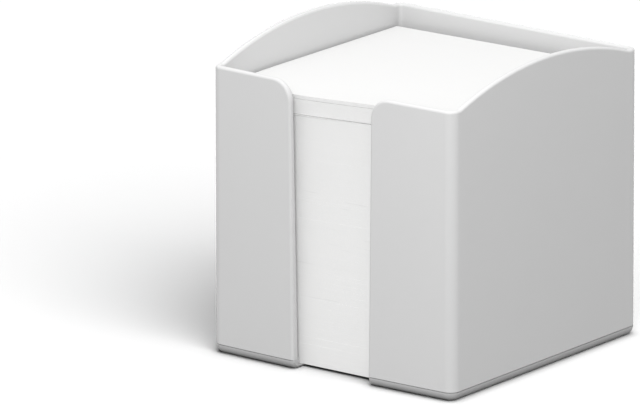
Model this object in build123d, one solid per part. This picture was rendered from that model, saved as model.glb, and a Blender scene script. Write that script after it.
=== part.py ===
from build123d import *
import math
import os

# Open-topped holder for a block of loose square note sheets.
# Millimetres. X runs across the slotted front, Y from front (-) to back (+), Z up.
# The origin is the centre of the footprint, on the surface that the holder stands on.

# ---- note sheets -------------------------------------------------------------
SHEET_SIDE = 90.0            # side of one square note sheet
SHEET_THICKNESS = 0.1
SHEAF_SHIFT = 0.02           # smallest step by which a sheaf lies out of line

# The block of sheets from the bottom up. Each sheaf: name, number of sheets, and
# the steps of SHEAF_SHIFT by which it lies to the right and to the front.
SHEAVES = [
    ("note_sheaf_1", 54, 3, 6),
    ("note_sheaf_2", 91, -2, 2),
    ("note_sheaf_3", 122, 2, 5),
    ("note_sheaf_4", 105, 0, 1),
    ("note_sheaf_5", 181, -3, 4),
    ("note_sheaf_6", 77, 2, 0),
    ("note_sheaf_7", 202, 0, 3),
    ("upper_sheaf", 51, -2, 0),
    ("top_notes", 12, 1, 2),
]

# ---- room round the sheets, at the foot of the walls --------------------------
SIDE_CLEARANCE = 0.5         # between the sheets and each side wall
FRONT_CLEARANCE = 2.4        # between the sheets and the front panels
BACK_CLEARANCE = 2.8         # between the sheets and the back wall
RIM_ABOVE_SHEETS = 5.7       # from the top of the block to the level rim

# ---- holder: walls -----------------------------------------------------------
WALL_AT_RIM = 2.1            # wall thickness at the rim
WALL_AT_FOOT = 3.0           # wall thickness at the seam: the inside has draft
SIDE_ARCH_RISE = 7.7         # crown of each side wall above the level rim
CORNER_RADIUS = 3.5          # upright outer corners
INNER_CORNER_RADIUS = 0.875  # least radius of the upright corners inside
FRONT_BOW = 0.9              # how far the front stands out between its corners
RIM_ROUNDING = 0.9           # rounding along the rim and the edges of the slot
RIM_SEAT = 1.5               # from the corner rounding to where a side arch would start
ARCH_BLEND_RADIUS = 4.0      # easing between the level rim and the side arch

# ---- finger slot in the front ------------------------------------------------
SLOT_WIDTH_AT_FOOT = 30.1
SLOT_WIDTH_AT_RIM = 32.3
SLOT_CORNER_RADIUS = 7.0     # rounded upper corners of the two front panels

# ---- base --------------------------------------------------------------------
SEAM_HEIGHT = 3.2            # height of the seam between wall and base
FLOOR_THICKNESS = 1.0        # from the standing surface to where the sheets lie
FOOT_LEAN_ANGLE = 8.0        # degrees that the base's edge leans in below the seam
FOOT_ROUNDING = 2.7          # rounding of the base's lower edge
SEAM_GAP_HEIGHT = 0.3        # dark line of the seam: a square step in the base's top edge
SEAM_GAP_DEPTH = 0.5
NOTCH_OVERLAP = 4.0          # how far the slot's notch reaches under the sheets
NOTCH_ROUNDING = 0.9         # rounding of the notch's front edges
STANDING_RING_WIDTH = 12.0   # flat ring that the holder stands on
UNDERSIDE_RECESS = 0.3       # recess inside the standing ring
UNDERSIDE_CORNER_RADIUS = 6.0

# ---- glued joint between wall and base ---------------------------------------
TONGUE_THICKNESS = 1.0
TONGUE_HEIGHT = 1.0
TONGUE_CLEARANCE = 0.1       # on each side of the tongue and below it
TONGUE_END_GAP = 5.0         # from the slot's side to the end of the tongue

# ---- construction ------------------------------------------------------------
CUT_OVERRUN = 1.0            # how far a cutting shape passes the face that it cuts
SAME_PLACE = 0.01            # two places nearer than this are the same place

# ---- derived sizes -----------------------------------------------------------
holder_width = SHEET_SIDE + 2 * (SIDE_CLEARANCE + WALL_AT_FOOT)
holder_depth = SHEET_SIDE + FRONT_CLEARANCE + BACK_CLEARANCE + 2 * WALL_AT_FOOT
half_width = holder_width / 2
half_depth = holder_depth / 2
block_height = SHEET_THICKNESS * sum(count for _, count, _, _ in SHEAVES)
block_centre_y = (FRONT_CLEARANCE - BACK_CLEARANCE) / 2
rim_height = FLOOR_THICKNESS + block_height + RIM_ABOVE_SHEETS
crown_height = rim_height + SIDE_ARCH_RISE
slot_half_at_foot = SLOT_WIDTH_AT_FOOT / 2
slot_half_at_rim = SLOT_WIDTH_AT_RIM / 2
tongue_inset = (WALL_AT_FOOT - TONGUE_THICKNESS) / 2
foot_inset = SEAM_HEIGHT * math.tan(math.radians(FOOT_LEAN_ANGLE))
notch_back = block_centre_y - SHEET_SIDE / 2 + NOTCH_OVERLAP


def bow_radius(half_chord, bow):
    """Radius of an arc from its half chord and its rise."""
    return (half_chord ** 2 + bow ** 2) / (2 * bow)


def plan_outline(inset, height):
    """Outline of the holder seen from above, moved inwards by inset, at a height.

    The front side is an arc that stands out by FRONT_BOW; its foremost points are
    the two sides of the slot, where the arc meets the holder's full depth.
    """
    radius = bow_radius(half_width, FRONT_BOW)
    slot_setback = radius - math.sqrt(radius ** 2 - slot_half_at_foot ** 2)
    arc_top = -half_depth - slot_setback
    corner_x = half_width - inset
    back_y = half_depth - inset
    inner_radius = radius - inset
    corner_y = arc_top + radius - math.sqrt(inner_radius ** 2 - corner_x ** 2)
    with BuildSketch(Plane.XY.offset(height)) as sketch:
        with BuildLine():
            ThreePointArc((-corner_x, corner_y), (0, arc_top + inset), (corner_x, corner_y))
            Polyline((corner_x, corner_y), (corner_x, back_y), (-corner_x, back_y), (-corner_x, corner_y))
        make_face()
        fillet(sketch.vertices(), max(CORNER_RADIUS - inset, INNER_CORNER_RADIUS))
    return sketch.sketch.faces()[0]


def upright(outline, thickness):
    """Straight block on a plan outline."""
    return extrude(outline, thickness, dir=(0, 0, 1))


def tongue_ring(clearance, bottom):
    """Band up to the seam along the middle of the wall, open across the slot.

    The wall's tongue has no clearance; the groove for it is cut with one.
    """
    height = SEAM_HEIGHT - bottom
    outer = upright(plan_outline(tongue_inset - clearance, bottom), height)
    inner = upright(plan_outline(tongue_inset + TONGUE_THICKNESS + clearance, bottom), height)
    half_gap = slot_half_at_foot + TONGUE_END_GAP - clearance
    at_slot = Pos(0, -half_depth, bottom) * Box(2 * half_gap, 4 * WALL_AT_FOOT, 2 * height)
    return outer - inner - at_slot


def slot_prism(half_foot, half_rim, z_low, z_high, y_inner):
    """Tapered block that cuts the finger slot, from in front of the holder to y_inner."""
    y_outer = -half_depth - WALL_AT_FOOT
    with BuildSketch(Plane.XZ.offset(-y_outer)) as sketch:
        with BuildLine():
            Polyline(
                (-half_foot, z_low), (half_foot, z_low),
                (half_rim, z_high), (-half_rim, z_high),
                close=True,
            )
        make_face()
    return extrude(sketch.sketch.faces()[0], y_inner - y_outer, dir=(0, 1, 0))


def slot_half_width(height):
    """Half the slot's width at a height, on its straight taper."""
    share = (height - SEAM_HEIGHT) / (rim_height - SEAM_HEIGHT)
    return slot_half_at_foot + share * (slot_half_at_rim - slot_half_at_foot)


def rim_profile():
    """Side view of the holder under its rim: level over the corners, an arch between."""
    half_arch = half_depth - CORNER_RADIUS - RIM_SEAT
    reach = half_depth + CUT_OVERRUN
    with BuildSketch(Plane.YZ) as sketch:
        with BuildLine():
            Polyline(
                (-half_arch, rim_height), (-reach, rim_height), (-reach, 0),
                (reach, 0), (reach, rim_height), (half_arch, rim_height),
            )
            ThreePointArc((half_arch, rim_height), (0, crown_height), (-half_arch, rim_height))
        make_face()
        arch_ends = [v for v in sketch.vertices() if abs(abs(v.X) - half_arch) < SAME_PLACE]
        fillet(arch_ends, ARCH_BLEND_RADIUS)
    return sketch.sketch.faces()[0]


def wall_body():
    """Drafted wall with its arched rim, still without its slot."""
    height = crown_height - SEAM_HEIGHT
    outer = extrude(plan_outline(0, SEAM_HEIGHT), height, dir=(0, 0, 1))
    cavity = loft(
        [plan_outline(WALL_AT_FOOT, SEAM_HEIGHT), plan_outline(WALL_AT_RIM, crown_height)],
        ruled=True,
    )
    below_rim = extrude(rim_profile(), half_width + CUT_OVERRUN, both=True)
    return (outer - cavity) & below_rim


def rim_edges(wall):
    """Edges along both sides of the strip of faces that forms the rim and the slot's sides."""
    strip = [
        face for face in wall.faces()
        if face.center().Z > rim_height - SLOT_CORNER_RADIUS
        or (abs(face.center().X) < slot_half_at_rim and face.center().Y < 0)
    ]
    borders = [edge for face in strip for edge in face.edges()]
    return [
        edge for edge in borders
        if sum(edge.is_same(other) for other in borders) == 1
        and (edge @ 0.5).Z > SEAM_HEIGHT + CUT_OVERRUN
    ]


def panel_corners(wall):
    """Short edges across the wall, at the upper inner corner of each front panel."""
    return [
        edge for edge in wall.edges()
        if edge.length < 2 * WALL_AT_FOOT and (edge @ 0.5).Z > rim_height - SLOT_CORNER_RADIUS
        and abs(abs((edge @ 0.5).X) - slot_half_at_rim) < SAME_PLACE
    ]


def wall_shell():
    """Wall moulding: back, two arched sides and two front panels, with a tongue below."""
    low = SEAM_HEIGHT - CUT_OVERRUN
    high = crown_height + CUT_OVERRUN
    wall = wall_body() - slot_prism(slot_half_width(low), slot_half_width(high), low, high, 0)
    wall = fillet(panel_corners(wall), SLOT_CORNER_RADIUS)
    wall = fillet(rim_edges(wall), RIM_ROUNDING)
    wall += tongue_ring(0, SEAM_HEIGHT - TONGUE_HEIGHT)
    wall.label = "wall_shell"
    return wall


def seam_gap():
    """Square cut all round the base's top outer edge: a narrow gap under the wall."""
    bottom = SEAM_HEIGHT - SEAM_GAP_HEIGHT
    outside = upright(plan_outline(-WALL_AT_FOOT, bottom), 2 * SEAM_GAP_HEIGHT)
    return outside - upright(plan_outline(SEAM_GAP_DEPTH, bottom), 2 * SEAM_GAP_HEIGHT)


def base_plate():
    """Base: floor for the sheets, rounded lower edge, groove for the wall's tongue."""
    base = loft([plan_outline(foot_inset, 0), plan_outline(0, SEAM_HEIGHT)], ruled=True)
    base = fillet(base.edges().group_by(Axis.Z)[0], FOOT_ROUNDING)
    base -= upright(plan_outline(WALL_AT_FOOT, FLOOR_THICKNESS), SEAM_HEIGHT)
    base -= tongue_ring(TONGUE_CLEARANCE, SEAM_HEIGHT - TONGUE_HEIGHT - TONGUE_CLEARANCE)
    base -= underside_recess()
    low = -CUT_OVERRUN
    high = SEAM_HEIGHT + CUT_OVERRUN
    base -= slot_prism(slot_half_at_foot, slot_half_at_foot, low, high, notch_back)
    base = fillet(notch_edges(base), NOTCH_ROUNDING)
    base -= seam_gap()
    base.label = "base_plate"
    return base


def underside_recess():
    """Shallow recess that leaves a ring for the holder to stand on."""
    with BuildSketch(Plane.XY) as sketch:
        RectangleRounded(
            holder_width - 2 * STANDING_RING_WIDTH, holder_depth - 2 * STANDING_RING_WIDTH,
            UNDERSIDE_CORNER_RADIUS,
        )
    return upright(sketch.sketch.faces()[0], UNDERSIDE_RECESS)


def notch_edges(base):
    """Upright front edges on both sides of the notch."""
    front = -half_depth + FOOT_ROUNDING
    return [
        edge for edge in base.edges()
        if abs(abs((edge @ 0.5).X) - slot_half_at_foot) < SAME_PLACE and (edge @ 0.5).Y < front
        and edge.bounding_box().size.Z > SAME_PLACE
    ]


def sheet_block():
    """All sheaves, each lying on the one below it, the lowest on the floor of the base."""
    sheaves = []
    bottom = FLOOR_THICKNESS
    for name, count, steps_right, steps_front in SHEAVES:
        thickness = count * SHEET_THICKNESS
        place = Pos(
            steps_right * SHEAF_SHIFT, block_centre_y - steps_front * SHEAF_SHIFT,
            bottom + thickness / 2,
        )
        sheaf = place * Box(SHEET_SIDE, SHEET_SIDE, thickness)
        sheaf.label = name
        sheaves.append(sheaf)
        bottom += thickness
    return sheaves


def main():
    """Build every piece and write one STEP file for each."""
    os.makedirs("parts", exist_ok=True)
    for piece in [wall_shell(), base_plate(), *sheet_block()]:
        export_step(piece, f"parts/{piece.label}.step")
        print(piece.label, round(piece.volume, 2), piece.is_valid)


main()
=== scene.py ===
import logging
import math
from dataclasses import dataclass
from enum import Enum
from random import Random

import bpy
from mathutils import Matrix, Vector


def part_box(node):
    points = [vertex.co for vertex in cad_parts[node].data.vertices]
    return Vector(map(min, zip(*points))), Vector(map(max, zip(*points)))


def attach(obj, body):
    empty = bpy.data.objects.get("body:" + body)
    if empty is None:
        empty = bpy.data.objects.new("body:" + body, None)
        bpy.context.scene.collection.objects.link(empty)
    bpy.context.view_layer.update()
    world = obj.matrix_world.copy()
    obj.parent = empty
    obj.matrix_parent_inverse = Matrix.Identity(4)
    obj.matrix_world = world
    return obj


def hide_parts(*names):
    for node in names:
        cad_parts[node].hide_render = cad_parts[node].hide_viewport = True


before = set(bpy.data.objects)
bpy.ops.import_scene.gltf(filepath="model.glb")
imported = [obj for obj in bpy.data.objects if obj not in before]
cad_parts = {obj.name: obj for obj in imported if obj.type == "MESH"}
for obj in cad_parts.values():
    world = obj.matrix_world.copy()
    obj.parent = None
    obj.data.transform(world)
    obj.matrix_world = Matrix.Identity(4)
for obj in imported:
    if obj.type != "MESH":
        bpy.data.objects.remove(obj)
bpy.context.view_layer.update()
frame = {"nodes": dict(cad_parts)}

# A desk holder for a block of loose square note sheets, dressed for a studio picture.
# Metres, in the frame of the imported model. MM turns millimetres into metres.

LOG = logging.getLogger("note_holder")
MM = 0.001
ROUNDING = 1e-7                         # a rest of height this small is no packet
WAVE_PERIOD = 2.0 * math.pi / 20.0      # of a Wave texture whose Scale is 1
LATTICE_FOOT = -0.5                     # where a lattice starts, in its own units

Colour = tuple[float, float, float]
Socket = bpy.types.NodeSocket


# ---- the workbench -----------------------------------------------------------

def clear_bench() -> None:
    """Leave edit mode and deselect everything, CAD nodes included."""
    if bpy.context.object is not None and bpy.context.object.mode != "OBJECT":
        bpy.ops.object.mode_set(mode="OBJECT")
    bpy.ops.object.select_all(action="DESELECT")


def pick(piece: bpy.types.Object) -> None:
    """Select one piece alone and make it the active one.

    Args:
        piece: The piece to work on.
    """
    clear_bench()
    piece.select_set(True)
    bpy.context.view_layer.objects.active = piece


def apply_modifiers(piece: bpy.types.Object) -> None:
    """Apply all of a piece's modifiers in order.

    Args:
        piece: The piece whose modifiers become part of its mesh.
    """
    pick(piece)
    for modifier in list(piece.modifiers):
        bpy.ops.object.modifier_apply(modifier=modifier.name)


# ---- finishes ----------------------------------------------------------------

class Operation(Enum):
    """What a Math node does with its two values."""

    TIMES = "MULTIPLY"
    OVER = "DIVIDE"
    LARGER = "MAXIMUM"
    BELOW = "LESS_THAN"
    SIZE = "ABSOLUTE"


class Blend(Enum):
    """How a second colour goes over a first one."""

    COVER = "MIX"
    MULTIPLY = "MULTIPLY"


class Painter:
    """Adds and joins the nodes of one material, or of the sky."""

    def __init__(self, owner: bpy.types.Material | bpy.types.World) -> None:
        """Start with no nodes.

        Args:
            owner: The material or the sky that the nodes belong to.
        """
        owner.use_nodes = True
        self.tree = owner.node_tree
        self.tree.nodes.clear()

    def node(self, kind: str, **settings: object) -> bpy.types.Node:
        """Add a node.

        Args:
            kind: The node's type.
            **settings: Properties to set on it, by name.

        Returns:
            The new node.
        """
        node = self.tree.nodes.new(kind)
        for name, value in settings.items():
            setattr(node, name, value)
        return node

    def join(self, source: Socket, target: Socket) -> None:
        """Link an output to an input."""
        self.tree.links.new(source, target)

    def cover(self, shader: Socket, kind: str = "ShaderNodeOutputMaterial") -> None:
        """Make a shader the surface.

        Args:
            shader: The shader.
            kind: The output node's type.
        """
        self.join(shader, self.node(kind).inputs["Surface"])

    def place(self) -> Socket:
        """Read a point's place in its piece's own frame."""
        return self.node("ShaderNodeTexCoord").outputs["Object"]

    def upright(self, vector: Socket) -> Socket:
        """Take the upright share of a vector.

        Args:
            vector: A place or a direction.

        Returns:
            Its Z value.
        """
        split = self.node("ShaderNodeSeparateXYZ")
        self.join(vector, split.inputs["Vector"])
        return split.outputs["Z"]

    def noise(self, place: Socket, scale: float, detail: float = 2.0) -> Socket:
        """Add a noise texture.

        Args:
            place: Coordinates it reads.
            scale: Its features per metre.
            detail: Its octaves.

        Returns:
            Its value, from 0 to 1.
        """
        texture = self.node("ShaderNodeTexNoise")
        texture.inputs["Scale"].default_value = scale
        texture.inputs["Detail"].default_value = detail
        self.join(place, texture.inputs["Vector"])
        return texture.outputs["Fac"]

    def spread(self, value: Socket, low: float, high: float) -> Socket:
        """Map a value of 0 to 1 onto a range.

        Args:
            value: The value to map.
            low: Result at 0.
            high: Result at 1.

        Returns:
            The mapped value.
        """
        mapped = self.node("ShaderNodeMapRange")
        self.join(value, mapped.inputs["Value"])
        mapped.inputs["To Min"].default_value = low
        mapped.inputs["To Max"].default_value = high
        return mapped.outputs["Result"]

    def calculate(
        self, operation: Operation, first: Socket, second: Socket | float = 0.0
    ) -> Socket:
        """Combine two values.

        Args:
            operation: What to do with them.
            first: An output.
            second: An output or a plain number.

        Returns:
            The result.
        """
        math_node = self.node("ShaderNodeMath", operation=operation.value)
        self.join(first, math_node.inputs[0])
        if isinstance(second, (int, float)):
            math_node.inputs[1].default_value = second
        else:
            self.join(second, math_node.inputs[1])
        return math_node.outputs[0]

    def blend(
        self, share: Socket | float, first: Socket | Colour, second: Socket | Colour,
        way: Blend = Blend.COVER,
    ) -> Socket:
        """Blend two colours.

        Args:
            share: 0 for the first colour alone, 1 for all of the second one.
            first: An output, or red, green and blue.
            second: An output, or red, green and blue.
            way: How the second colour goes over the first one.

        Returns:
            The blended colour.
        """
        mix = self.node("ShaderNodeMix", data_type="RGBA", blend_type=way.value)
        if isinstance(share, (int, float)):
            mix.inputs["Factor"].default_value = share
        else:
            self.join(share, mix.inputs["Factor"])
        for side, colour in (("A", first), ("B", second)):
            if isinstance(colour, tuple):
                mix.inputs[side].default_value = (*colour, 1.0)
            else:
                self.join(colour, mix.inputs[side])
        return mix.outputs["Result"]

    def relief(self, height: Socket, depth: float, under: Socket | None = None) -> Socket:
        """Turn a height into a bumped normal.

        Args:
            height: Height from 0 to 1.
            depth: Real depth of that height, in metres.
            under: A normal that is already bumped, if there is one.

        Returns:
            The bumped normal.
        """
        bump = self.node("ShaderNodeBump")
        bump.inputs["Distance"].default_value = depth
        self.join(height, bump.inputs["Height"])
        if under is not None:
            self.join(under, bump.inputs["Normal"])
        return bump.outputs["Normal"]


def grey(level: float) -> Colour:
    """Make a neutral colour.

    Args:
        level: Its brightness, from 0 to 1.

    Returns:
        Red, green and blue.
    """
    return (level, level, level)


def shade(base: Colour, change: float) -> Colour:
    """Make a colour lighter or darker.

    Args:
        base: Red, green and blue.
        change: Share to add, or below 0 to take away.

    Returns:
        The changed colour.
    """
    return tuple(part * (1.0 + change) for part in base)


@dataclass(frozen=True)
class MouldedPlastic:
    """Satin light grey injection moulding with a fine, even grain.

    The rims carry a painted highlight: a face that looks straight up takes the rim
    highlight's share of the light rim colour. The foot carries a painted shadow: a face
    whose normal points down by foot_lean or more takes the foot shade's share of black at
    the table. It dies out at foot_height.
    """

    name: str
    colour: Colour
    roughness: float
    roughness_change: float = 0.03
    ior: float = 1.5
    gloss: float = 0.2
    grain_size: float = 0.22 * MM
    grain_depth: float = 0.003 * MM
    flow_size: float = 28 * MM
    flow_change: float = 0.006
    rim_highlight_share: float = 0.0
    rim_highlight_colour: Colour = grey(0.92)
    foot_painted_shadow: float = 0.0
    foot_height: float = 3.2 * MM
    foot_lean: float = 0.12

    def material(self) -> bpy.types.Material:
        """Build the finish.

        Returns:
            The material.
        """
        material = bpy.data.materials.new(self.name)
        paint = Painter(material)
        place = paint.place()
        shader = paint.node("ShaderNodeBsdfPrincipled")
        shader.inputs["IOR"].default_value = self.ior
        shader.inputs["Specular IOR Level"].default_value = self.gloss
        flow = paint.noise(place, 1.0 / self.flow_size, detail=1.0)
        colour = paint.blend(
            flow, shade(self.colour, -self.flow_change), shade(self.colour, self.flow_change)
        )
        highlighted = self.paint_rim_highlight(paint, colour)
        paint.join(self.foot(paint, place, highlighted), shader.inputs["Base Color"])
        grain = paint.noise(place, 1.0 / self.grain_size, detail=1.0)
        rough = paint.spread(
            grain, self.roughness - self.roughness_change, self.roughness + self.roughness_change
        )
        paint.join(rough, shader.inputs["Roughness"])
        paint.join(paint.relief(grain, self.grain_depth), shader.inputs["Normal"])
        paint.cover(shader.outputs["BSDF"])
        return material

    def paint_rim_highlight(self, paint: Painter, colour: Socket) -> Socket:
        """Paint a highlight on the thin top edges, lighter than the walls where they face up.

        Args:
            paint: The material's painter.
            colour: The colour of the walls.

        Returns:
            The colour with the painted highlight, lighter where the surface faces up.
        """
        normal = paint.node("ShaderNodeNewGeometry").outputs["Normal"]
        # Painted highlight: faces that look up go towards the light rim colour.
        highlight_share = paint.spread(paint.upright(normal), 0.0, self.rim_highlight_share)
        return paint.blend(highlight_share, colour, self.rim_highlight_colour)

    def foot(self, paint: Painter, place: Socket, colour: Socket) -> Socket:
        """Paint shade: deepen the colour towards the table where the edge leans in under the seam.

        Args:
            paint: The material's painter.
            place: Object coordinates.
            colour: The colour above the foot.

        Returns:
            The colour with a painted shadow, darkest where the leaning edge meets the table.
        """
        # Painted shadow: black grows towards the table on faces that lean down.
        height = paint.calculate(Operation.OVER, paint.upright(place), self.foot_height)
        painted_shadow_share = paint.spread(height, self.foot_painted_shadow, 0.0)
        normal = paint.node("ShaderNodeNewGeometry").outputs["Normal"]
        lean = paint.calculate(Operation.OVER, paint.upright(normal), -self.foot_lean)
        leaning = paint.spread(lean, 0.0, 1.0)
        return paint.blend(paint.calculate(Operation.TIMES, painted_shadow_share, leaning), colour, grey(0.0))


@dataclass(frozen=True)
class NotePaper:
    """Uncoated white note paper: soft fibres on a sheet, fine lines where sheets end.

    A face is a sheet's where the upright share of its normal reaches steepest_sheet, and
    a cut side elsewhere. The lines between sheets carry painted shade that deepens towards
    the top of the block, and waver like sheets that don't quite lie flat. bands and streaks
    are noises on the cut sides, given by their features per metre along the sheets and
    across them; the streaks are painted shade, as under sheets that stand proud.
    streak_share is the part of the noise's range over which a streak grows dark.
    """

    name: str
    colour: Colour
    sheet_thickness: float
    roughness: float = 0.85
    ior: float = 1.45
    gloss: float = 0.25
    fibre_size: float = 0.35 * MM
    fibre_depth: float = 0.006 * MM
    steepest_sheet: float = 0.5
    edge_depth: float = 0.012 * MM
    gap_shade_change: float = 0.18
    edge_waver: float = 1.2
    edge_waver_scale: float = 0.5
    gap_shade_height: float = 90 * MM
    bands: tuple[float, float] = (18.0, 900.0)
    band_change: float = 0.012
    streaks: tuple[float, float] = (60.0, 1900.0)
    streak_shade_change: float = 0.07
    streak_share: tuple[float, float] = (0.66, 0.77)

    def material(self) -> bpy.types.Material:
        """Build the finish.

        Returns:
            The material.
        """
        material = bpy.data.materials.new(self.name)
        paint = Painter(material)
        place = paint.place()
        shader = paint.node("ShaderNodeBsdfPrincipled")
        shader.inputs["IOR"].default_value = self.ior
        shader.inputs["Specular IOR Level"].default_value = self.gloss
        shader.inputs["Roughness"].default_value = self.roughness
        cut = self.cut_side(paint)
        lines = paint.calculate(Operation.TIMES, self.sheet_lines(paint, place), cut)
        # Faint random bands, and short streaks of painted shade.
        bands_and_streak_shade = paint.calculate(Operation.TIMES, self.bands_and_streak_shade(paint, place), cut)
        # Painted shade in the lines between sheets, deepening towards the top of the block.
        gap_shade = paint.calculate(Operation.TIMES, lines, self.gap_shade_growth(paint, place))
        shaded_ends = paint.blend(gap_shade, self.colour, shade(self.colour, -self.gap_shade_change))
        bands_and_streak_tone = paint.blend(bands_and_streak_shade, grey(1.0), grey(1.0 - self.streak_shade_change))
        colour = paint.blend(1.0, shaded_ends, bands_and_streak_tone, Blend.MULTIPLY)
        paint.join(colour, shader.inputs["Base Color"])
        fibres = paint.noise(place, 1.0 / self.fibre_size, detail=3.0)
        bumped = paint.relief(fibres, self.fibre_depth)
        paint.join(paint.relief(lines, -self.edge_depth, bumped), shader.inputs["Normal"])
        paint.cover(shader.outputs["BSDF"])
        return material

    def cut_side(self, paint: Painter) -> Socket:
        """Find the cut sides of the block.

        Args:
            paint: The material's painter.

        Returns:
            1 on the cut sides and 0 on the faces of the sheets.
        """
        normal = paint.node("ShaderNodeNewGeometry").outputs["True Normal"]
        level = paint.calculate(Operation.SIZE, paint.upright(normal))
        return paint.calculate(Operation.BELOW, level, self.steepest_sheet)

    def gap_shade_growth(self, paint: Painter, place: Socket) -> Socket:
        """Say how far the painted shade in the lines between sheets deepens, by height.

        Args:
            paint: The material's painter.
            place: Object coordinates.

        Returns:
            0 at the foot of the block and 1 at its top, growing as the square of the height.
        """
        share = paint.calculate(Operation.OVER, paint.upright(place), self.gap_shade_height)
        return paint.calculate(Operation.TIMES, share, share)

    def sheet_lines(self, paint: Painter, place: Socket) -> Socket:
        """Draw a line at each sheet's end.

        Args:
            paint: The material's painter.
            place: Object coordinates.

        Returns:
            1 between two sheets and 0 on a sheet's cut edge.
        """
        wave = paint.node(
            "ShaderNodeTexWave", wave_type="BANDS", bands_direction="Z", wave_profile="SIN"
        )
        wave.inputs["Scale"].default_value = WAVE_PERIOD / self.sheet_thickness
        wave.inputs["Distortion"].default_value = self.edge_waver
        wave.inputs["Detail"].default_value = 1.0
        wave.inputs["Detail Scale"].default_value = self.edge_waver_scale
        paint.join(place, wave.inputs["Vector"])
        return wave.outputs["Fac"]

    def bands_and_streak_shade(self, paint: Painter, place: Socket) -> Socket:
        """Mark the cut sides: long faint bands, as bundles leave, and a few short streaks of painted
        shade, as under sheets that stand proud.

        Args:
            paint: The material's painter.
            place: Object coordinates.

        Returns:
            A value from 0 to 1, where 1 is a streak at its darkest.
        """
        bands = self.level_noise(paint, place, self.bands)
        faint = paint.spread(bands, 0.0, self.band_change / self.streak_shade_change)
        streaks = paint.node("ShaderNodeMapRange")
        low, high = self.streak_share
        streaks.inputs["From Min"].default_value = low
        streaks.inputs["From Max"].default_value = high
        paint.join(self.level_noise(paint, place, self.streaks), streaks.inputs["Value"])
        return paint.calculate(Operation.LARGER, streaks.outputs["Result"], faint)

    def level_noise(
        self, paint: Painter, place: Socket, features: tuple[float, float]
    ) -> Socket:
        """Add noise that is drawn out along the sheets.

        Args:
            paint: The material's painter.
            place: Object coordinates.
            features: Its features per metre along the sheets and across them.

        Returns:
            Its value, from 0 to 1.
        """
        along, across = features
        stretch = paint.node("ShaderNodeMapping")
        stretch.inputs["Scale"].default_value = (along, along, across)
        paint.join(place, stretch.inputs["Vector"])
        return paint.noise(stretch.outputs["Vector"], 1.0)


@dataclass(frozen=True)
class StudioFloor:
    """White table top that keeps a soft shadow.

    Its seen tone carries a painted contact shadow, deeper by up to contact_shade within
    contact_reach of what stands on it. Its bounced tone is darker, so that it throws little light on
    the holder.
    """

    name: str
    seen_colour: Colour
    bounce_colour: Colour
    contact_reach: float = 3 * MM
    contact_shade: float = 0.5

    def material(self) -> bpy.types.Material:
        """Build the finish.

        Returns:
            The material.
        """
        material = bpy.data.materials.new(self.name)
        paint = Painter(material)
        rays = paint.node("ShaderNodeLightPath")
        seen = paint.calculate(
            Operation.LARGER, rays.outputs["Is Camera Ray"], rays.outputs["Is Glossy Ray"]
        )
        # Painted contact shadow: the table's seen tone darkens close to what stands on it.
        openness = paint.node("ShaderNodeAmbientOcclusion")
        openness.inputs["Distance"].default_value = self.contact_reach
        closed = shade(self.seen_colour, -self.contact_shade)
        top = paint.blend(openness.outputs["AO"], closed, self.seen_colour)
        shader = paint.node("ShaderNodeBsdfDiffuse")
        paint.join(paint.blend(seen, self.bounce_colour, top), shader.inputs["Color"])
        paint.cover(shader.outputs["BSDF"])
        return material


# ---- the holder --------------------------------------------------------------

@dataclass
class Holder:
    """The two mouldings of the holder, which keep their CAD shapes."""

    wall: str = "wall_shell"
    base: str = "base_plate"
    # The wall's rims carry a painted highlight and the base's foot a painted shadow.
    wall_finish: MouldedPlastic = MouldedPlastic(
        "wall_plastic", grey(0.63), roughness=0.40, rim_highlight_share=0.65
    )
    base_finish: MouldedPlastic = MouldedPlastic(
        "base_plastic", grey(0.53), roughness=0.42, foot_painted_shadow=0.48
    )

    def dress(self, nodes: dict[str, bpy.types.Object]) -> None:
        """Give both mouldings their finishes.

        Args:
            nodes: The CAD nodes by name.
        """
        for name, finish in ((self.wall, self.wall_finish), (self.base, self.base_finish)):
            material = finish.material()
            for material_slot in nodes[name].material_slots:
                material_slot.material = material
            LOG.info("%s dressed in %s", name, finish.name)


# ---- the note sheets ---------------------------------------------------------

@dataclass(frozen=True)
class Packet:
    """Sheets of one sheaf that lie in line with one another; metres and degrees."""

    thickness: float
    right: float
    front: float
    turn: float


@dataclass(frozen=True)
class Sheaf:
    """One liftable part of the block, which stands for a CAD node.

    loose_top is how far the sheet on its top lies out of line: to the right and to the
    front in millimetres, and its turn in degrees. A parted sheaf lies above the gap in
    the block's front.
    """

    node: str
    seed: int
    loose_top: tuple[float, float, float] = (0.0, 0.0, 0.0)
    parted: bool = False

    @property
    def body(self) -> str:
        """Name of the CAD body it rides on."""
        return self.node + "_body"


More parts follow.
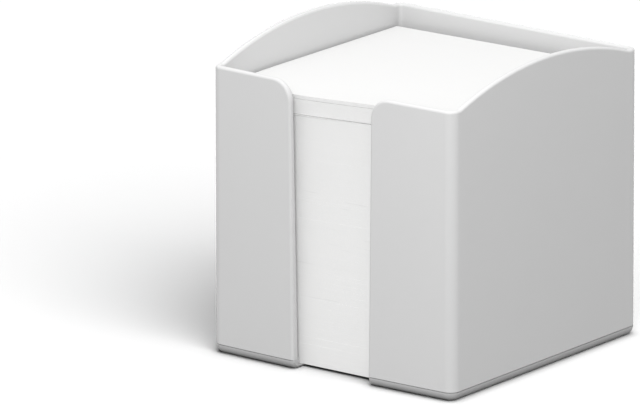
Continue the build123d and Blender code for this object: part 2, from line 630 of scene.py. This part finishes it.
@dataclass
class NoteBlock:
    """The block of loose sheets, in nine sheaves from the floor of the holder up.

    A packet lies out of line by up to jog to each side, and is turned by up to turn
    degrees.
    """

    paper: NotePaper = NotePaper("note_paper", (0.9, 0.9, 0.895), sheet_thickness=0.1 * MM)
    cells: int = 14
    thinnest_packet: float = 0.5 * MM
    thickest_packet: float = 2.6 * MM
    jog: float = 0.015 * MM
    turn: float = 0.015
    sheaves: tuple[Sheaf, ...] = (
        Sheaf("note_sheaf_1", 11, (0.0, 0.02, 0.02)),
        Sheaf("note_sheaf_2", 12, (0.0, 0.02, -0.02)),
        Sheaf("note_sheaf_3", 13, (0.0, 0.02, 0.03)),
        Sheaf("note_sheaf_4", 14, (0.0, 0.02, -0.03)),
        Sheaf("note_sheaf_5", 15, (0.0, 0.02, -0.04)),
        Sheaf("note_sheaf_6", 16, (0.0, 0.02, -0.04)),
        Sheaf("note_sheaf_7", 17, (0.0, 0.22, -0.9)),
        Sheaf("upper_sheaf", 18, (0.0, -0.4, 0.2), parted=True),
        Sheaf("top_notes", 19, parted=True),
    )

    def packets(self, sheaf: Sheaf, height: float) -> list[Packet]:
        """Share a sheaf's height out over packets that lie slightly out of line.

        Args:
            sheaf: The sheaf.
            height: Its height in metres.

        Returns:
            Its packets from the bottom up.
        """
        dice = Random(sheaf.seed)
        sheet = self.paper.sheet_thickness
        found = []
        left = height - sheet
        while left > ROUNDING:
            thickness = min(left, dice.uniform(self.thinnest_packet, self.thickest_packet))
            if left - thickness < self.thinnest_packet:
                thickness = left
            found.append(Packet(
                thickness, dice.uniform(-self.jog, self.jog), dice.uniform(-self.jog, self.jog),
                dice.uniform(-self.turn, self.turn),
            ))
            left -= thickness
        right, front, turn = sheaf.loose_top
        found.append(Packet(sheet, right * MM, front * MM, turn))
        return found

    def middle(self, level: float) -> Vector:
        """Find the middle of the block at a height, on a line through the sheaves' middles.

        Args:
            level: The height in metres.

        Returns:
            The point at about that height.
        """
        points = [(low + high) / 2 for low, high in (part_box(sheaf.node) for sheaf in self.sheaves)]
        for below, above in zip(points, points[1:]):
            if level < above.z:
                share = max((level - below.z) / (above.z - below.z), 0.0)
                return below.lerp(above, share)
        return points[-1].copy()

    def stack(self, sheaf: Sheaf) -> bpy.types.Object:
        """Build a sheaf: a grid extruded upwards packet by packet.

        Args:
            sheaf: The sheaf.

        Returns:
            The closed mesh of its packets.
        """
        low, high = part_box(sheaf.node)
        middle = self.middle(low.z)
        clear_bench()
        bpy.ops.mesh.primitive_grid_add(
            x_subdivisions=self.cells, y_subdivisions=self.cells, size=high.x - low.x,
            location=(middle.x, middle.y, low.z),
        )
        piece = bpy.context.object
        piece.name = sheaf.node + "_sheets"
        piece.data.name = piece.name
        bpy.ops.object.transform_apply(location=True, rotation=True, scale=True)
        bpy.ops.object.mode_set(mode="EDIT")
        bpy.ops.mesh.select_all(action="SELECT")
        level = low.z
        before = Packet(0.0, 0.0, 0.0, 0.0)
        for count, packet in enumerate(self.packets(sheaf, high.z - low.z)):
            moved = self.middle(level) - middle
            middle += moved
            step = (
                moved.x + packet.right - before.right, moved.y + before.front - packet.front, 0.0
            )
            if count:
                bpy.ops.mesh.extrude_region_move(TRANSFORM_OT_translate={"value": step})
            else:
                bpy.ops.transform.translate(value=step)
            bpy.ops.transform.rotate(
                value=math.radians(packet.turn - before.turn), orient_axis="Z",
                center_override=(middle.x, middle.y, level),
            )
            bpy.ops.mesh.extrude_region_move(
                TRANSFORM_OT_translate={"value": (0.0, 0.0, packet.thickness)}
            )
            level += packet.thickness
            before = packet
        bpy.ops.mesh.select_all(action="SELECT")
        bpy.ops.mesh.normals_make_consistent(inside=False)
        bpy.ops.object.mode_set(mode="OBJECT")
        return piece

    def build(self) -> None:
        """Build every sheaf, bend it with the block and put it on its body."""
        material = self.paper.material()
        lean = BlockBend("settled_block").cage()
        gap = FrontGap("front_gap").cage()
        for sheaf in self.sheaves:
            piece = self.stack(sheaf)
            self.bend(piece, lean)
            if sheaf.parted:
                self.bend(piece, gap)
            piece.data.materials.append(material)
            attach(piece, sheaf.body)
            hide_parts(sheaf.node)
            LOG.info("%s: %d faces", piece.name, len(piece.data.polygons))
        for cage in (lean, gap):
            bpy.data.objects.remove(cage)

    def bend(self, piece: bpy.types.Object, cage: bpy.types.Object) -> None:
        """Bend a piece with a lattice.

        Args:
            piece: The piece to bend.
            cage: The lattice.
        """
        modifier = piece.modifiers.new("bend", "LATTICE")
        modifier.object = cage
        apply_modifiers(piece)


@dataclass
class Cage:
    """A lattice round the block; each kind of it says how far its points rise."""

    name: str
    across: int = 9
    levels: int = 2
    margin: float = 1 * MM

    def rise(self, x: float, y: float, share: float) -> float:
        """Say how far a point rises.

        Args:
            x: Place across, in millimetres; not used here.
            y: Place from front to back, in millimetres; not used here.
            share: Height in the cage, from 0 to 1; not used here.

        Returns:
            The rise in millimetres.
        """
        return 0.0

    def cage(self) -> bpy.types.Object:
        """Build the lattice round the whole block.

        Returns:
            The lattice object.
        """
        low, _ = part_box("note_sheaf_1")
        _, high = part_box("top_notes")
        size = high - low + 2 * Vector((self.margin, self.margin, 0.0))
        clear_bench()
        bpy.ops.object.add(type="LATTICE", location=(low + high) / 2)
        cage = bpy.context.object
        cage.name = self.name
        cage.scale = size
        lattice = cage.data
        lattice.points_u = self.across
        lattice.points_v = self.across
        lattice.points_w = self.levels
        lattice.interpolation_type_u = "KEY_CARDINAL"
        lattice.interpolation_type_v = "KEY_CARDINAL"
        lattice.interpolation_type_w = "KEY_LINEAR"
        bpy.context.view_layer.update()
        for point in lattice.points:
            place = cage.matrix_world @ point.co
            share = point.co.z - LATTICE_FOOT
            lift = self.rise(place.x / MM, place.y / MM, share) * MM
            point.co_deform.z = point.co.z + lift / size.z
        return cage


@dataclass
class BlockBend(Cage):
    """How the whole block lies: its top leans a little and its front right edge curls up.

    The slopes are those of its top, and the lengths are millimetres: the curl starts
    curl_start in front of the middle, is full curl_length further on, and stops growing
    sideways curl_reach from the middle.
    """

    slope_right: float = 0.012
    slope_back: float = -0.010
    curl_start: float = 20.0
    curl_length: float = 25.0
    curl_slope: float = 0.045
    curl_rise: float = 0.1
    curl_reach: float = 17.0

    def rise(self, x: float, y: float, share: float) -> float:
        """Rise of the block, none at the floor and all of it at its top."""
        weight = min(max((-y - self.curl_start) / self.curl_length, 0.0), 1.0) ** 2
        reach = min(max(x, -self.curl_reach), self.curl_reach)
        curl = weight * (self.curl_slope * reach + self.curl_rise)
        return share * (self.slope_right * x + self.slope_back * y + curl)


@dataclass
class FrontGap(Cage):
    """How the upper sheets part from the rest along the front, in millimetres."""

    depth: float = 14.0
    gap: float = 0.22
    front: float = -45.0

    def rise(self, x: float, y: float, share: float) -> float:
        """Rise of the upper sheets, which dies out some way behind the front."""
        weight = min(max(1.0 - (y - self.front) / self.depth, 0.0), 1.0)
        return self.gap * weight


# ---- the studio --------------------------------------------------------------

@dataclass(frozen=True)
class Softbox:
    """A square lamp that points at the middle of the holder.

    Its azimuth is in degrees round the holder, 0 in front and 90 at its right side, and
    its elevation in degrees above the table.
    """

    name: str
    azimuth: float
    elevation: float
    distance: float
    size: float
    watts: float

    def place(self, aim: Vector) -> None:
        """Set the lamp up.

        Args:
            aim: The point it faces.
        """
        lamp = bpy.data.lights.new(self.name, "AREA")
        lamp.shape = "SQUARE"
        lamp.size = self.size
        lamp.energy = self.watts
        stand(self.name, lamp, aim, self.azimuth, self.elevation, self.distance)


@dataclass(frozen=True)
class ShadowLight:
    """A broad, even light that only the table receives, and so draws a soft shadow.

    Its spread is the angle in degrees over which it comes. Its distance changes nothing.
    """

    name: str
    azimuth: float
    elevation: float
    spread: float
    strength: float
    distance: float = 1.0

    def place(self, aim: Vector, table: bpy.types.Collection) -> None:
        """Set the light up.

        Args:
            aim: The point it faces.
            table: The collection that holds the table alone.
        """
        lamp = bpy.data.lights.new(self.name, "SUN")
        lamp.angle = math.radians(self.spread)
        lamp.energy = self.strength
        lamp_stand = stand(self.name, lamp, aim, self.azimuth, self.elevation, self.distance)
        lamp_stand.light_linking.receiver_collection = table


def stand(
    name: str, lamp: bpy.types.Light, aim: Vector, azimuth: float, elevation: float,
    distance: float,
) -> bpy.types.Object:
    """Put a lamp on its stand, facing the holder.

    Args:
        name: The stand's name.
        lamp: The lamp.
        aim: The point it faces.
        azimuth: Degrees from the front towards the right side.
        elevation: Degrees above the table.
        distance: Distance from that point.

    Returns:
        The lamp's object.
    """
    lamp_stand = bpy.data.objects.new(name, lamp)
    bpy.context.scene.collection.objects.link(lamp_stand)
    away = direction(azimuth, elevation)
    lamp_stand.location = aim + away * distance
    lamp_stand.rotation_euler = (-away).to_track_quat("-Z", "Y").to_euler()
    return lamp_stand


def direction(azimuth: float, elevation: float) -> Vector:
    """Direction from the holder to a place round it.

    Args:
        azimuth: Degrees from the front towards the right side.
        elevation: Degrees above the table.

    Returns:
        The unit vector.
    """
    turn, climb = math.radians(azimuth), math.radians(elevation)
    return Vector((
        math.sin(turn) * math.cos(climb), -math.cos(turn) * math.cos(climb), math.sin(climb)
    ))


@dataclass
class Studio:
    """Plain white table, soft lamps that point at aim_height above it, and the sky."""

    aim_height: float = 50 * MM
    floor_half: float = 0.45
    floor_finish: StudioFloor = StudioFloor("white_table", grey(0.13), grey(0.05))
    sky: float = 0.72
    lamps: tuple[Softbox, ...] = (
        Softbox("key_box", azimuth=29, elevation=29, distance=0.8, size=0.2, watts=3.0),
        Softbox("overhead_box", azimuth=0, elevation=88, distance=0.55, size=0.6, watts=0.55),
    )
    shadow_lights: tuple[ShadowLight, ...] = (
        ShadowLight("long_shadow_light", azimuth=62, elevation=45, spread=58, strength=23.0),
        ShadowLight("contact_shadow_light", azimuth=37, elevation=89.5, spread=8, strength=6.0),
    )

    def build(self) -> None:
        """Build the studio."""
        aim = Vector((0.0, 0.0, self.aim_height))
        clear_bench()
        bpy.ops.mesh.primitive_plane_add(size=2 * self.floor_half)
        table = bpy.context.object
        table.name = "white_table"
        table.data.materials.append(self.floor_finish.material())
        alone = bpy.data.collections.new("floor_alone")
        alone.objects.link(table)
        for lamp in self.lamps:
            lamp.place(aim)
        for light in self.shadow_lights:
            light.place(aim, alone)
        self.build_sky()

    def build_sky(self) -> None:
        """Give the world its light, and plain white wherever it is seen or mirrored."""
        world = bpy.data.worlds.new("studio_sky")
        bpy.context.scene.world = world
        paint = Painter(world)
        rays = paint.node("ShaderNodeLightPath")
        seen = rays.outputs["Is Camera Ray"]
        for kind in ("Is Glossy Ray", "Is Transmission Ray"):
            seen = paint.calculate(Operation.LARGER, seen, rays.outputs[kind])
        background = paint.node("ShaderNodeBackground")
        background.inputs["Color"].default_value = (*grey(1.0), 1.0)
        paint.join(paint.spread(seen, self.sky, 1.0), background.inputs["Strength"])
        paint.cover(background.outputs["Background"], "ShaderNodeOutputWorld")


@dataclass
class StudioCamera:
    """Long lens, looking down at the front right corner of the holder.

    It looks at centre, moved by aim_right and aim_up in the picture's own directions.
    Angles are degrees, and the lens is in millimetres, as cameras give it.
    """

    azimuth: float = 37.31
    elevation: float = 15.77
    roll: float = -0.10
    distance: float = 4.2346
    lens: float = 736.6
    centre: tuple[float, float, float] = (0.0, 0.00035, 0.04822)
    aim_right: float = -0.034106
    aim_up: float = -0.001112
    farthest: float = 50.0

    def build(self) -> None:
        """Set the scene's camera up."""
        back = direction(self.azimuth, self.elevation)
        right = Vector((0.0, 0.0, 1.0)).cross(back).normalized()
        up = back.cross(right)
        aim = Vector(self.centre) + right * self.aim_right + up * self.aim_up
        turned = Matrix((right, up, back)).transposed()
        turned = turned @ Matrix.Rotation(math.radians(self.roll), 3, "Z")
        camera = bpy.data.cameras.new("studio_camera")
        camera.lens = self.lens
        camera.clip_end = self.farthest
        tripod = bpy.data.objects.new("studio_camera", camera)
        bpy.context.scene.collection.objects.link(tripod)
        tripod.matrix_world = Matrix.Translation(aim + back * self.distance) @ turned.to_4x4()
        bpy.context.scene.camera = tripod


def main() -> None:
    """Build the whole picture in order and report its pieces."""
    logging.basicConfig(level=logging.INFO, format="%(name)s: %(message)s")
    scene = bpy.context.scene
    scene.view_settings.view_transform = "Standard"
    StudioCamera().build()
    Holder().dress(frame["nodes"])
    NoteBlock().build()
    Studio().build()
    clear_bench()


if __name__ == "__main__":
    main()
